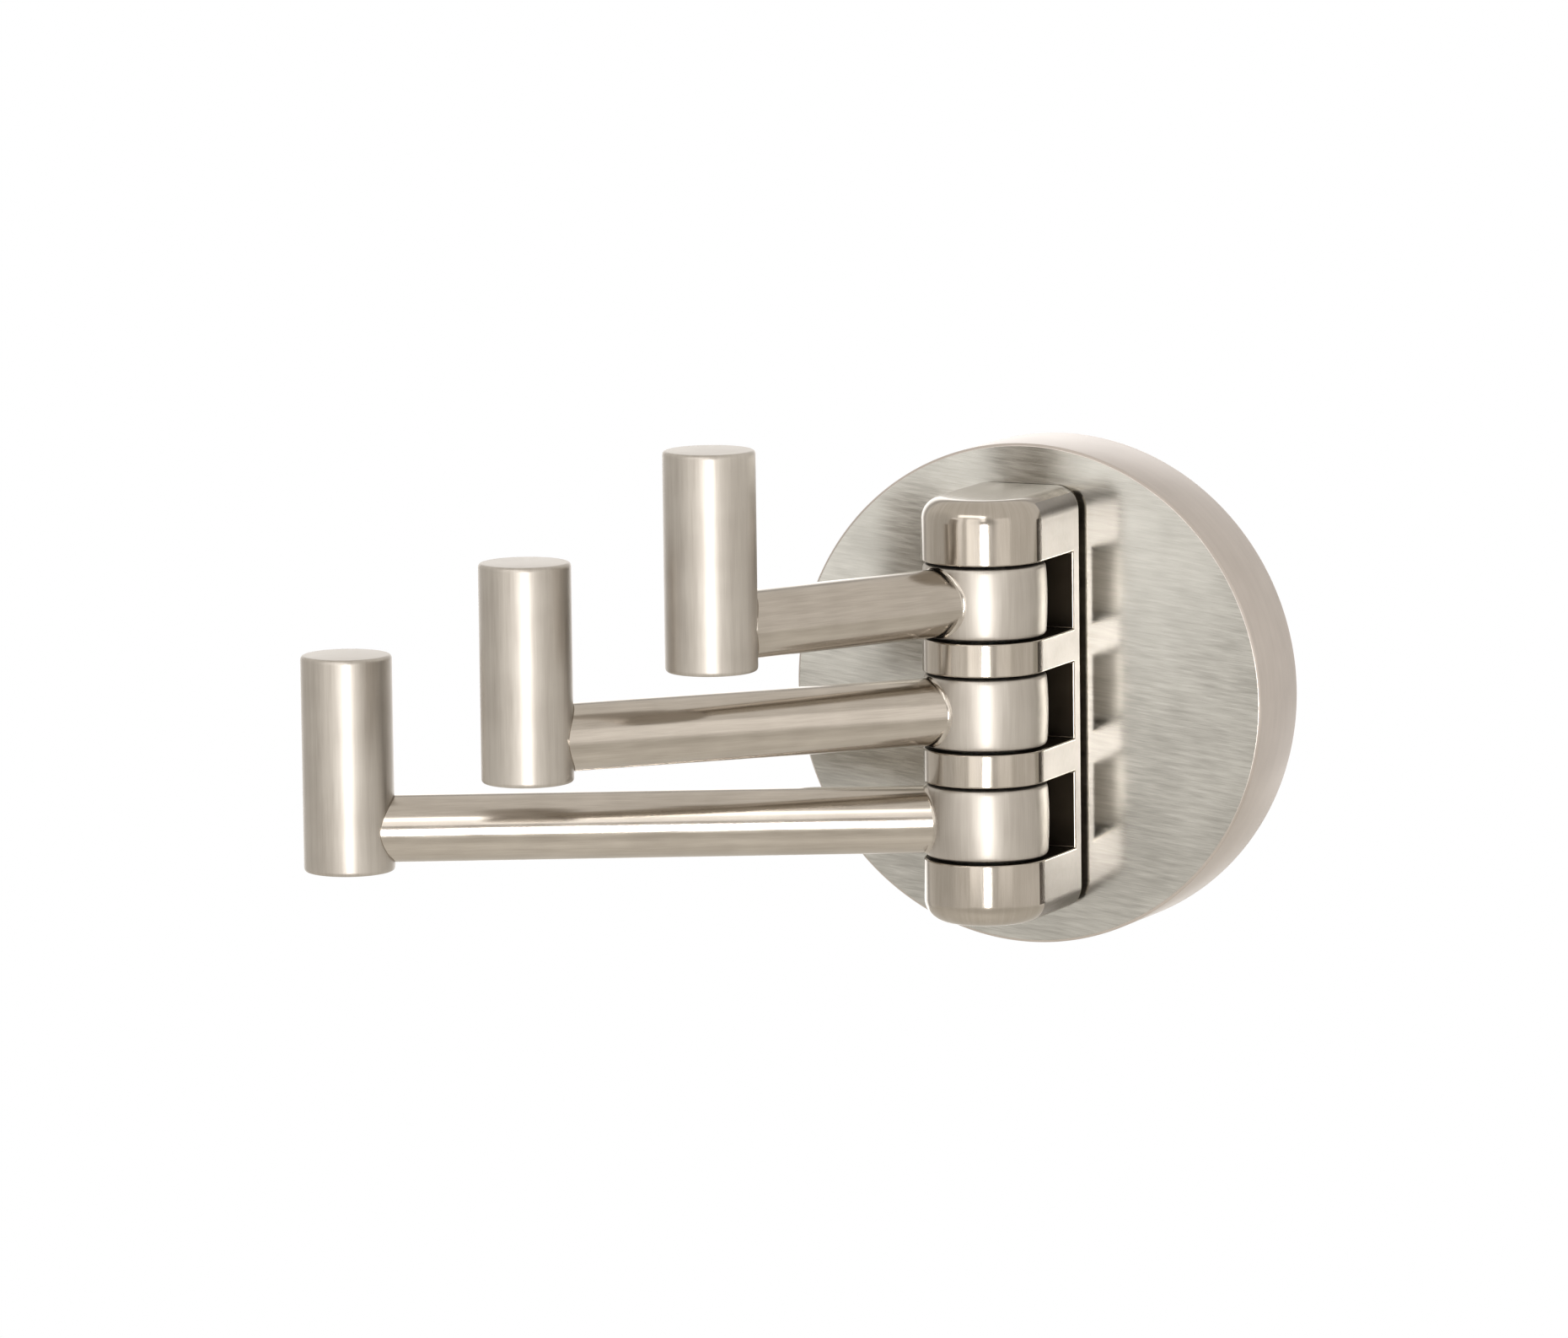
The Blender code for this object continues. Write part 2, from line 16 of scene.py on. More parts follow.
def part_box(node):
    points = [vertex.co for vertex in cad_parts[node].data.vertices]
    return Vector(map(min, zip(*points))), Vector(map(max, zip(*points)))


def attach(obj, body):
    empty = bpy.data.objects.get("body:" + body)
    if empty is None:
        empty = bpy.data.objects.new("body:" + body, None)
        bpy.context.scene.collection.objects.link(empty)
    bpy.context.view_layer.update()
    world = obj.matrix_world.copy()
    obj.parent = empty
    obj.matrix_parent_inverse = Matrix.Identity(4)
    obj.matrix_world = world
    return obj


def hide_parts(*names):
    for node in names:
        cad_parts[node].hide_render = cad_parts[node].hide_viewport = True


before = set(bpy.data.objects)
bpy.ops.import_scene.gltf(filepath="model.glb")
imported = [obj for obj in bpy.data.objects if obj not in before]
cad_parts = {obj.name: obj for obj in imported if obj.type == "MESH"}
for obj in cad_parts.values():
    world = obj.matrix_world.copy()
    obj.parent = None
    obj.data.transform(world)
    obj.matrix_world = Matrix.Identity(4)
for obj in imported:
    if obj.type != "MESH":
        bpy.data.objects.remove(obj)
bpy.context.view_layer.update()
MM = 0.001

# %% [markdown]
# ## Places and sizes
#
# Nothing is measured twice. The plate's radius, the hinge's axis and each arm's direction are read
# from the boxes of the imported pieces, so the new surfaces land exactly where the old ones are.

# %% Read the places
def box_of(node):
    low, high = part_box(node)
    return np.array(low), np.array(high)


def middle_of(node):
    low, high = box_of(node)
    return (low + high) / 2


def half_width(node):
    low, high = box_of(node)
    return (high[0] - low[0]) / 2


def screw_heights():
    return [middle_of(f"bracket_screw_{end}")[2] for end in ("upper", "lower")]


bracket_low, bracket_high = box_of("hinge_bracket")
PLATE_RADIUS = half_width("backplate_cover")
PLATE_DEPTH = -box_of("backplate_cover")[0][1]
BARREL_RADIUS = half_width("hinge_bracket")
BRACKET_HALF_HEIGHT = bracket_high[2]
HINGE_Y = bracket_low[1] + BARREL_RADIUS
ARMS = ("upper", "middle", "lower")
print("plate radius", round(PLATE_RADIUS / MM, 2), "mm, hinge axis", round(-HINGE_Y / MM, 2), "mm out")

# %% [markdown]
# ## One skin for every shape
#
# Each new piece is a grid of points: rows run along it, and columns go round it and close. One
# function turns such a grid into a mesh. It also stores, at every corner, how far across and how far
# along the surface that corner lies, in metres, because brush strokes follow the surface.

# %% Turn a grid into a mesh
SEAM_WELD = 0.0005 * MM
SHARP_EDGE = math.radians(32)


def skin(name, points, across, along, loop=False, caps=False):
    """Quads between point (i, j) and its neighbours (i+1, j) and (i, j+1), with column j closing on
    itself. across and along give the texture place of corner (i, j), and have one column more."""
    rows, columns = points.shape[:2]
    last = rows if loop else rows - 1
    i, j = np.meshgrid(np.arange(last), np.arange(columns), indexing="ij")
    below, right = (i + 1) % rows, (j + 1) % columns
    here, under = i * columns, below * columns
    quads = np.stack([here + j, here + right, under + right, under + j], -1)
    faces = quads.reshape(-1, 4).tolist()
    rim = list(range(columns))
    if caps:
        faces += [rim, [(rows - 1) * columns + j for j in rim]]
    mesh = bpy.data.meshes.new(name)
    mesh.from_pydata(points.reshape(-1, 3).tolist(), [], faces)
    places = np.stack([across, along], -1)
    quad_places = np.stack([places[i, j], places[i, j + 1], places[below, j + 1], places[below, j]], 2)
    flat = quad_places.reshape(-1, 2)
    if caps:
        ends = np.concatenate([points[0][:, :2], points[-1][:, :2]])
        flat = np.concatenate([flat, ends])
    mesh.uv_layers.new(name="Strokes").data.foreach_set("uv", flat.astype(np.float32).ravel())
    return closed_object(name, mesh)


def closed_object(name, mesh):
    """Welds points that fall together at poles and seams, turns faces outwards, and shades it smooth."""
    bm = bmesh.new()
    bm.from_mesh(mesh)
    bmesh.ops.remove_doubles(bm, verts=bm.verts, dist=SEAM_WELD)
    bmesh.ops.recalc_face_normals(bm, faces=bm.faces)
    bm.to_mesh(mesh)
    bm.free()
    mesh.shade_smooth()
    mesh.set_sharp_from_angle(angle=SHARP_EDGE)
    piece = bpy.data.objects.new(name, mesh)
    bpy.context.scene.collection.objects.link(piece)
    return piece


# %% [markdown]
# ## Rounded profiles and turned pieces
#
# Posts, knuckles and the plate are turned parts. Their profile is a short list of corners, and every
# corner is eased, because a sharp edge would catch no light. A profile carried round an axis is then
# the whole piece.

# %% Ease the corners of a profile
def eased(corners, radii, steps=9):
    """Each corner p becomes the curve p + r((1-s)^2 a + s^2 b), where a and b point to its neighbours
    and s runs from 0 to 1: a parabola that leaves one side and joins the next."""
    corners, radii = np.array(corners, float), np.array(radii, float)
    to_last = np.roll(corners, 1, 0) - corners
    to_next = np.roll(corners, -1, 0) - corners
    to_last /= np.linalg.norm(to_last, axis=1, keepdims=True)
    to_next /= np.linalg.norm(to_next, axis=1, keepdims=True)
    s = np.linspace(0, 1, steps)[None, :, None]
    pull = (1 - s) ** 2 * to_last[:, None] + s**2 * to_next[:, None]
    curve = corners[:, None] + radii[:, None, None] * pull
    return curve.reshape(-1, 2)


def lathe(name, profile, centre, axis, segments=144, loop=False):
    """Point (radius, height) of the profile goes to centre + radius(cos t e + sin t f) + height axis,
    where e and f are the two directions square to the axis and t goes once round."""
    axis = np.array(axis, float)
    e = np.array((1.0, 0.0, 0.0))
    f = np.cross(axis, e)
    t = np.arange(segments + 1) * 2 * np.pi / segments
    ring = np.cos(t[:-1])[:, None] * e + np.sin(t[:-1])[:, None] * f
    points = np.array(centre) + profile[:, 0, None, None] * ring[None] + profile[:, 1, None, None] * axis
    across = np.broadcast_to(t * profile[:, 0].max(), (len(profile), segments + 1))
    length = np.concatenate([[0], np.cumsum(np.linalg.norm(np.diff(profile, axis=0), axis=1))])
    along = np.broadcast_to(length[:, None], across.shape)
    return skin(name, points, across, along, loop)


# %% [markdown]
# ## Cutting
#
# Pockets and screw holes are the same cuts that the maker mills. A Boolean does them, and its result
# is kept as the mesh, so that the cutters can go away. Points that two cuts left in one place are
# welded, because a bevel would turn them into slivers, and any triangle that a cut dropped is filled.

# %% Cut a piece with other shapes
CUT_WELD = 0.004 * MM


def cut(piece, cutters):
    for cutter in cutters:
        modifier = piece.modifiers.new("Cut", "BOOLEAN")
        modifier.operation = "DIFFERENCE"
        modifier.solver = "EXACT"
        modifier.object = cutter
    bpy.context.view_layer.update()
    graph = bpy.context.evaluated_depsgraph_get()
    mesh = bpy.data.meshes.new_from_object(piece.evaluated_get(graph))
    piece.modifiers.clear()
    piece.data = mesh
    for cutter in cutters:
        bpy.data.objects.remove(cutter)
    bm = bmesh.new()
    bm.from_mesh(mesh)
    bmesh.ops.remove_doubles(bm, verts=bm.verts, dist=CUT_WELD)
    bmesh.ops.dissolve_degenerate(bm, edges=bm.edges, dist=CUT_WELD)
    bmesh.ops.holes_fill(bm, edges=[e for e in bm.edges if e.is_boundary])
    bm.to_mesh(mesh)
    bm.free()
    mesh.set_sharp_from_angle(angle=SHARP_EDGE)
    return piece


def block(low, high):
    mesh = bpy.data.meshes.new("block")
    bm = bmesh.new()
    size, centre = np.subtract(high, low), np.add(high, low) / 2
    bmesh.ops.create_cube(bm, size=1, matrix=Matrix.LocRotScale(Vector(centre), None, Vector(size)))
    bm.to_mesh(mesh)
    bm.free()
    piece = bpy.data.objects.new("block", mesh)
    bpy.context.scene.collection.objects.link(piece)
    return piece


def drill(radius, start, end, segments=48):
    start, end = np.array(start, float), np.array(end, float)
    length = np.linalg.norm(end - start)
    profile = np.array([(0, 0), (radius, 0), (radius, length), (0, length)])
    return lathe("drill", profile, start, (end - start) / length, segments)


# %% [markdown]
# ## Telling the faces of a piece apart
#
# One casting often has several finishes: a face is brushed, its edge is polished, its back is rough.
# A mesh hands over all its normals, centres or corners as one long array, and comparing that array
# with a number then picks out the faces of one finish.

# %% Read one value of every face, corner or point at once
def read(items, field, width, kind=np.float32):
    """The field of all items of a mesh in one go, as rows of that width."""
    values = np.empty(len(items) * width, kind)
    items.foreach_get(field, values)
    return values.reshape(-1, width)


# %% [markdown]
# ## The wall plate
#
# The plate is a deep round cover that slides over a bracket on the wall. Its face is brushed in one
# direction and its rim round the circumference, as a belt and a lathe leave them, and a narrow
# bevel parts the two. The face takes its strokes from flat coordinates turned by a few degrees, and
# the rim takes its own from the way round.

# %% Build the plate
PLATE_WALL = 3.2 * MM
PLATE_FACE = 3.5 * MM
PLATE_BEVEL = 0.3 * MM
PLATE_INNER = PLATE_RADIUS - PLATE_WALL
STROKE_TILT = math.radians(-6.5)
CLEARANCE_HOLE = 2.3 * MM
TAPPED_HOLE = 2.15 * MM


def plate_profile():
    """Half a section, from the middle of the face over bevel and rim to the middle of the inside."""
    inside, shoulder = PLATE_DEPTH - PLATE_FACE, PLATE_DEPTH - PLATE_BEVEL
    front = [(0, PLATE_DEPTH), (PLATE_RADIUS - PLATE_BEVEL, PLATE_DEPTH), (PLATE_RADIUS, shoulder)]
    rest = [(PLATE_RADIUS, 0), (PLATE_INNER, 0), (PLATE_INNER, inside), (0, inside)]
    radii = np.array([0, 0.08, 0.12, 0.3, 0.3, 0.8, 0]) * MM
    profile = eased(front + rest, radii, 5)
    profile[profile[:, 0] < 0.01 * MM, 0] = 0
    return profile


def lay_strokes(mesh, flat):
    """Corners of flat faces get the place z c - x s along x c + z s, where c and s are the cosine and
    sine of the tilt. The others swap their two places, so that strokes run round the rim."""
    loops = read(mesh.loops, "vertex_index", 1, np.int32)[:, 0]
    place = read(mesh.vertices, "co", 3)[loops]
    c, s = math.cos(STROKE_TILT), math.sin(STROKE_TILT)
    turned = np.stack([place[:, 2] * c - place[:, 0] * s, place[:, 0] * c + place[:, 2] * s], 1)
    on_face = np.repeat(flat, read(mesh.polygons, "loop_total", 1, np.int32)[:, 0])
    layer = mesh.uv_layers["Strokes"].data
    uv = np.where(on_face[:, None], turned, read(layer, "uv", 2)[:, ::-1])
    layer.foreach_set("uv", uv.astype(np.float32).ravel())


def plate_cover():
    cover = lathe("wall_plate", plate_profile(), (0, 0, 0), (0, -1, 0), 288)
    mesh = cover.data
    mesh.materials.append(None)
    mesh.materials.append(None)
    flat = np.abs(read(mesh.polygons, "normal", 3)[:, 1]) > 0.98
    lay_strokes(mesh, flat)
    mesh.polygons.foreach_set("material_index", np.where(flat, 0, 1).astype(np.int32))
    holes = [drill(CLEARANCE_HOLE, (0, -2 * PLATE_DEPTH, z), (0, PLATE_DEPTH, z)) for z in screw_heights()]
    y = middle_of("cover_set_screw")[1]
    holes.append(drill(TAPPED_HOLE, (0, y, -2 * PLATE_RADIUS), (0, y, -PLATE_INNER + 1 * MM)))
    return cut(cover, holes)


plate = plate_cover()
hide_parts("backplate_cover")
print("plate faces:", len(plate.data.polygons))

# %% [markdown]
# ## The hinge bracket
#
# The bracket is one casting: straight flanks that run into a half round front, with the two ends
# rounded over, and three pockets milled through it for the knuckles. Its skin is the plan outline
# drawn at many heights and pulled in towards the ends. The pockets are then cut, and a small bevel
# breaks every milled edge. A chamfer round the rear keeps its edge off the brushed plate and leaves
# the dark line between the two, which painted shade on the rear and its chamfer makes darker.

# %% Build the bracket
END_ROUNDING = 3.0 * MM
BACK_SLAB = 3.0 * MM
REAR_CHAMFER = 1.0 * MM
POCKET_BACK = bracket_high[1] - BACK_SLAB
POCKET_GAP = 0.3 * MM
PIN_CLEARANCE = 0.08 * MM
SEAT_CLEARANCE = 0.15 * MM


def bracket_outline(arc=72, flank=8, rear=10):
    """Plan as three lists, so that x = (R - d) a and y = c - (R - d) b at any inset d. The flanks stop
    short of the rear, and a chamfer leads from them to the rear face."""
    t = np.linspace(0, np.pi, arc + 1)
    run = np.linspace(0, 1, flank, endpoint=False)
    rear_y, front_y = bracket_high[1], HINGE_Y
    rear_a = 1 - REAR_CHAMFER / BARREL_RADIUS
    a = np.concatenate([-np.ones(flank), -np.cos(t), np.ones(flank), np.linspace(rear_a, -rear_a, rear)])
    b = np.concatenate([np.zeros(flank), np.sin(t), np.zeros(flank), np.zeros(rear)])
    flank_y = rear_y - REAR_CHAMFER + (front_y - rear_y + REAR_CHAMFER) * run
    c = np.concatenate([flank_y, np.full(arc + 1, front_y), flank_y[::-1], np.full(rear, rear_y)])
    return a, b, c


def bracket_skin():
    """Height and inset follow a quarter circle at each end: inset r(1 - sin q), height H - r(1 - cos q)."""
    a, b, c = bracket_outline()
    q = np.linspace(0, np.pi / 2, 14)
    inset = END_ROUNDING * (1 - np.sin(q))
    height = BRACKET_HALF_HEIGHT - END_ROUNDING * (1 - np.cos(q))
    inset = np.concatenate([inset, inset[::-1]])
    height = np.concatenate([-height, height[::-1]])
    reach = BARREL_RADIUS - inset[:, None]
    x, y = reach * a, c - reach * b
    points = np.stack([x, y, np.broadcast_to(height[:, None], x.shape)], -1)
    step = np.hypot(np.diff(a, append=a[:1]), np.diff(b, append=b[:1])) * BARREL_RADIUS
    step += np.abs(np.diff(c, append=c[:1]))
    round_it = np.concatenate([[0], np.cumsum(step)])
    across = np.broadcast_to(round_it, (len(height), len(a) + 1))
    along = np.broadcast_to(height[:, None], across.shape)
    return skin("hinge_block", points, across, along, caps=True)


def pocket_cutters():
    wide, deep = 2 * BARREL_RADIUS, 4 * BARREL_RADIUS
    cutters = []
    for arm in ARMS:
        low, high = box_of(f"{arm}_arm_knuckle")
        bottom, top = low[2] - POCKET_GAP, high[2] + POCKET_GAP
        cutters.append(block((-wide, -deep - PLATE_DEPTH, bottom), (wide, POCKET_BACK, top)))
    return cutters


def hole_cutters():
    """The pin and the screw that holds it come up from below, and two screws come in from behind."""
    below = -2 * BRACKET_HALF_HEIGHT
    cutters = []
    for node, clearance in (("hinge_pin", PIN_CLEARANCE), ("pin_retaining_screw", SEAT_CLEARANCE)):
        top = box_of(node)[1][2] + POCKET_GAP
        cutters.append(drill(half_width(node) + clearance, (0, HINGE_Y, below), (0, HINGE_Y, top)))
    for end, z in zip(("upper", "lower"), screw_heights()):
        tip = box_of(f"bracket_screw_{end}")[0][1]
        cutters.append(drill(TAPPED_HOLE, (0, 0, z), (0, tip - POCKET_GAP, z)))
    return cutters


bracket = cut(bracket_skin(), pocket_cutters() + hole_cutters())
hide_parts("hinge_bracket")
print("bracket faces:", len(bracket.data.polygons))

# %% [markdown]
# ## Which face of the bracket gets which finish
#
# The wheel polishes the round front and the ends. It never reaches the rear or the pockets, which
# stay as cast and are darkened to near black with painted shade. The flanks are sanded flat, and a
# thin dark band of painted shade runs where they turn into the front. The milled edges are broken
# last, so their bevel shines like the front.

# %% Sort the faces of the bracket by finish
FLANK_TURN = math.radians(10.1)
FRONT, CAST_WITH_PAINTED_SHADE, FLANK, PAINTED_SHADE_LINE = range(4)


def sort_faces(mesh):
    """A face goes by where it looks: back, down a pocket, to the side, or nearly to the side."""
    for _ in (FRONT, CAST_WITH_PAINTED_SHADE, FLANK, PAINTED_SHADE_LINE):
        mesh.materials.append(None)
    normal, centre = read(mesh.polygons, "normal", 3), read(mesh.polygons, "center", 3)
    sideways, upright, off_axis = np.abs(normal[:, 0]), np.abs(normal[:, 2]), np.abs(centre[:, 0])
    # Painted shade: the rear and its chamfer, the back walls of the pockets and the lug ends get a
    # near-black finish.
    rear = normal[:, 1] > 0.5
    back_wall = (normal[:, 1] < -0.9) & (np.abs(centre[:, 1] - POCKET_BACK) < 0.05 * MM)
    lug_end = (upright > 0.99) & (np.abs(centre[:, 2]) < BRACKET_HALF_HEIGHT - END_ROUNDING)
    flank = (np.abs(normal[:, 1]) < 0.01) & (sideways > 0.7) & (off_axis > BARREL_RADIUS / 2)
    # Painted shade: the faces just short of each flank, where the front turns into it, get a dark band.
    turn = (sideways > math.cos(FLANK_TURN)) & (centre[:, 1] < HINGE_Y) & ~flank
    finish = CAST_WITH_PAINTED_SHADE * (rear | back_wall | lug_end) + FLANK * flank + PAINTED_SHADE_LINE * turn
    mesh.polygons.foreach_set("material_index", finish.astype(np.int32))


sort_faces(bracket.data)
edge = bracket.modifiers.new("Broken edges", "BEVEL")
edge.width = 0.22 * MM
edge.segments = 3
edge.limit_method = "ANGLE"
edge.angle_limit = math.radians(40)
edge.harden_normals = True
edge.use_clamp_overlap = False
edge.material = FRONT
print("faces by finish:", np.bincount(read(bracket.data.polygons, "material_index", 1, np.int32)[:, 0]))

# %% [markdown]
# ## The knuckles
#
# A knuckle is a short barrel, bored for the pin and sunk at both ends for its nylon washers. A wheel
# rounds its ends and leaves it a little fuller at the middle, so that light gathers there in a soft
# oval. It is a closed profile carried round the pin.

# %% Turn the knuckles
KNUCKLE_ROUNDING = 0.7 * MM
CROWN = 0.22 * MM
WASHER_SINK = 0.5 * MM


def knuckle(arm):
    """Radius of the crowned side = R - C v^2, where v runs from one end, -1, to the other, 1."""
    low, high = box_of(f"{arm}_arm_knuckle")
    half = (high[2] - low[2]) / 2
    bore = half_width("hinge_pin") + PIN_CLEARANCE
    recess = half_width(f"friction_washer_{arm}_top") + SEAT_CLEARANCE
    floor = half - WASHER_SINK
    upper = [(bore, floor), (recess, floor), (recess, half), (BARREL_RADIUS - CROWN, half)]
    lower = [(radius, -height) for radius, height in reversed(upper)]
    share = np.linspace(0.75, -0.75, 13)
    swell = list(np.stack([BARREL_RADIUS - CROWN * share**2, half * share], 1))
    ease = [0.1 * MM, 0.05 * MM, 0.1 * MM, KNUCKLE_ROUNDING]
    profile = eased(upper + swell + lower, ease + [0] * len(swell) + ease[::-1])
    centre = middle_of(f"{arm}_arm_knuckle")
    piece = lathe(f"{arm}_knuckle", profile, (0, HINGE_Y, centre[2]), (0, 0, 1), loop=True)
    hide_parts(f"{arm}_arm_knuckle")
    return piece


knuckles = {arm: knuckle(arm) for arm in ARMS}
print("knuckle faces:", [len(k.data.polygons) for k in knuckles.values()])

# %% [markdown]
# ## The rods
#
# A rod is brazed to its knuckle, and the joint is dressed to a hollow flare that spreads until it
# meets the barrel. The rod is a tube of rings. Near the knuckle each ring grows along a quarter
# circle and bends to lie on the barrel, and at the other end it bends to lie on the post.

# %% Draw the rods with their flares
POST_RADIUS = half_width("upper_arm_post")
FLARE = 0.38 * MM
FLARE_RINGS = 14
FLARE_MARGIN = 0.06 * MM
# Two rings inside the knuckle: millimetres below its skin, and size as a share of the joint's.
ROOT_DEPTH = [2.2, 0.5]
ROOT_SIZE = [0.6, 1.0]
# Rings at the post: millimetres short of its skin, and millimetres narrower than the rod.
TIP_RINGS = [(0.5, 0.0), (0.16, 0.0), (0.0, 0.16), (-0.3, 0.3), (-1.6, 1.6)]


def barrel_distance(sideways, upright, half):
    """How far the barrel's skin is from the pin at that offset: root of radius squared less offset
    squared, where the radius shrinks with the crown and again near the rounded ends."""
    over = np.clip(np.abs(upright) - (half - KNUCKLE_ROUNDING), 0, KNUCKLE_ROUNDING)
    crowned = BARREL_RADIUS - CROWN * (upright / half) ** 2
    radius = crowned - KNUCKLE_ROUNDING + np.sqrt(KNUCKLE_ROUNDING**2 - over**2)
    return np.sqrt(radius**2 - sideways**2)


def rod(arm, around=120):
    """Ring angle t, growth angle q: radius r + f(1 - sin q), distance = barrel distance + f(1 - cos q)."""
    knuckle_low, knuckle_high = box_of(f"{arm}_arm_knuckle")
    post_low, post_high = box_of(f"{arm}_arm_post")
    rod_low, rod_high = box_of(f"{arm}_arm_rod")
    half = (knuckle_high[2] - knuckle_low[2]) / 2
    radius = (rod_high[2] - rod_low[2]) / 2
    pivot = np.array((0, HINGE_Y, (knuckle_low[2] + knuckle_high[2]) / 2))
    post_axis = (post_low + post_high)[:2] / 2
    out = post_axis - pivot[:2]
    reach = np.linalg.norm(out)
    u = np.array((*(out / reach), 0.0))
    w = np.array((-u[1], u[0], 0.0))
    t = np.linspace(0, 2 * np.pi, around + 1)
    q = np.concatenate([[0, 0], np.linspace(0, np.pi / 2, FLARE_RINGS)])[:, None]
    grow = radius + FLARE * (1 - np.sin(q))
    sideways = grow * np.cos(t)
    ceiling = half - FLARE_MARGIN
    upright = np.clip(grow * np.sin(t), -ceiling, ceiling)
    distance = barrel_distance(sideways, upright, half) + FLARE * (1 - np.cos(q))
    distance = distance - np.array(ROOT_DEPTH + [0] * FLARE_RINGS)[:, None] * MM
    size = np.array(ROOT_SIZE + [1] * FLARE_RINGS)[:, None]
    sideways, upright = sideways * size, upright * size
    saddle = reach - np.sqrt(POST_RADIUS**2 - (radius * np.cos(t)) ** 2)
    for before, less in TIP_RINGS:
        sideways = np.vstack([sideways, (radius - less * MM) * np.cos(t)])
        upright = np.vstack([upright, (radius - less * MM) * np.sin(t)])
        distance = np.vstack([distance, saddle - before * MM])
    points = pivot + distance[..., None] * u + sideways[..., None] * w
    points[..., 2] += upright
    across = np.broadcast_to(t * radius, distance.shape)
    piece = skin(f"{arm}_rod", points[:, :-1], across, distance, caps=True)
    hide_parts(f"{arm}_arm_rod")
    return piece


rods = {arm: rod(arm) for arm in ARMS}
print("rod faces:", [len(r.data.polygons) for r in rods.values()])

# %% [markdown]
# ## The posts
#
# Each post is a cut length of bar with its end edges eased on a belt. The garment rests on the rod
# behind it, and the post only stops it from slipping off, so the post is plain.

# %% Turn the posts
POST_EASING = 0.6 * MM


def post(arm):
    low, high = box_of(f"{arm}_arm_post")
    corners = [(0, low[2]), (POST_RADIUS, low[2]), (POST_RADIUS, high[2]), (0, high[2])]
    profile = eased(corners, [0, POST_EASING, POST_EASING, 0])
    centre = (low + high) / 2
    piece = lathe(f"{arm}_post", profile, (centre[0], centre[1], 0), (0, 0, 1))
    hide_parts(f"{arm}_arm_post")
    return piece


posts = {arm: post(arm) for arm in ARMS}
print("post faces:", [len(p.data.polygons) for p in posts.values()])

# %% [markdown]
# ## The wall plugs
#
# The plugs are moulded with a collar and a row of saw-tooth ribs that grip the wall, and the sleeve
# is split so that the screw can spread it. They show from behind.

# %% Mould the wall plugs
COLLAR = 1.5 * MM
RIB_PITCH = 3.5 * MM
RIB_DEPTH = 0.55 * MM
TAPER_LENGTH = 4 * MM
TAPER_DEPTH = 0.5 * MM
PLUG_BORE = 2.3 * MM
SPLIT_START = 6 * MM
HALF_SPLIT = 0.35 * MM


def plug(side):
    """Radius = sleeve radius less a saw tooth that repeats every rib pitch, less a taper near the tip."""
    low, high = box_of(f"wall_anchor_{side}")
    radius, length = (high[0] - low[0]) / 2, high[1] - low[1]
    depth = np.linspace(0, length, 97)
    tooth = ((depth - COLLAR) / RIB_PITCH) % 1.0 * RIB_DEPTH
    tooth[depth < COLLAR] = 0
    taper = np.clip((depth - length + TAPER_LENGTH) / TAPER_LENGTH, 0, 1) * TAPER_DEPTH
    outer = np.stack([radius - tooth - taper, depth], 1)
    inner = np.array([(PLUG_BORE, length), (PLUG_BORE, 0)])
    profile = np.concatenate([outer, inner])
    centre = ((low[0] + high[0]) / 2, low[1], (low[2] + high[2]) / 2)
    piece = lathe(f"wall_plug_{side}", profile, centre, (0, 1, 0), 96, loop=True)
    split_low = (centre[0] - radius * 2, low[1] + SPLIT_START, -HALF_SPLIT)
    split_high = (centre[0] + radius * 2, high[1] + 2 * MM, HALF_SPLIT)
    cut(piece, [block(split_low, split_high)])
    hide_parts(f"wall_anchor_{side}")
    return piece


plugs = [plug(side) for side in ("left", "right")]
print("plug faces:", [len(p.data.polygons) for p in plugs])

# %% [markdown]
# ## Colours and nodes
#
# Colours are written as they look on a screen and turned to linear light once. One helper adds a
# shader node with its settings and its links.

# %% Helpers for materials
def linear(hex_colour):
    """sRGB to linear: c / 12.92 below 0.04045, else ((c + 0.055) / 1.055) to the power 2.4."""
    c = np.array([int(hex_colour[k : k + 2], 16) for k in (1, 3, 5)]) / 255
    return (*np.where(c <= 0.04045, c / 12.92, ((c + 0.055) / 1.055) ** 2.4), 1.0)


def add(tree, kind, inputs=None, **settings):
    """A new node. inputs maps a socket's name or number to a value, or to the socket that feeds it."""
    node = tree.nodes.new(kind)
    for key, value in settings.items():
        setattr(node, key, value)
    for key, value in (inputs or {}).items():
        if isinstance(value, bpy.types.NodeSocket):
            tree.links.new(value, node.inputs[key])
        else:
            node.inputs[key].default_value = value
    return node


def ramp_stops(node, stops):
    """Fills a Color Ramp with (position, hex colour) stops."""
    elements = node.color_ramp.elements
    while len(elements) < len(stops):
        elements.new(0.5)
    for element, (position, colour) in zip(elements, stops):
        element.position, element.color = position, linear(colour)


def new_material(name):
    material = bpy.data.materials.new(name)
    material.use_nodes = True
    tree = material.node_tree
    tree.nodes.clear()
    return material, tree


def finish_tree(tree, shader):
    add(tree, "ShaderNodeOutputMaterial", {"Surface": shader.outputs[0]})


# %% [markdown]
# ## Brushed and satin nickel
#
# Nickel plate on brass is a warm grey metal. What changes from piece to piece is the last abrasive:
# a belt leaves long strokes on the plate, a fine wheel leaves a soft satin on knuckles and posts, the
# rods and the bracket are nearly polished, and the bracket's flanks are only sanded. The strokes are
# noise stretched along the surface. They tint the metal a little, change its gloss, and tilt the
# light through a shallow bump. Real strokes are near 0.05 mm wide, too fine to show, so they are
# drawn two or three times as wide.

# %% Mix the nickel finishes
CLOUD = 7 * MM


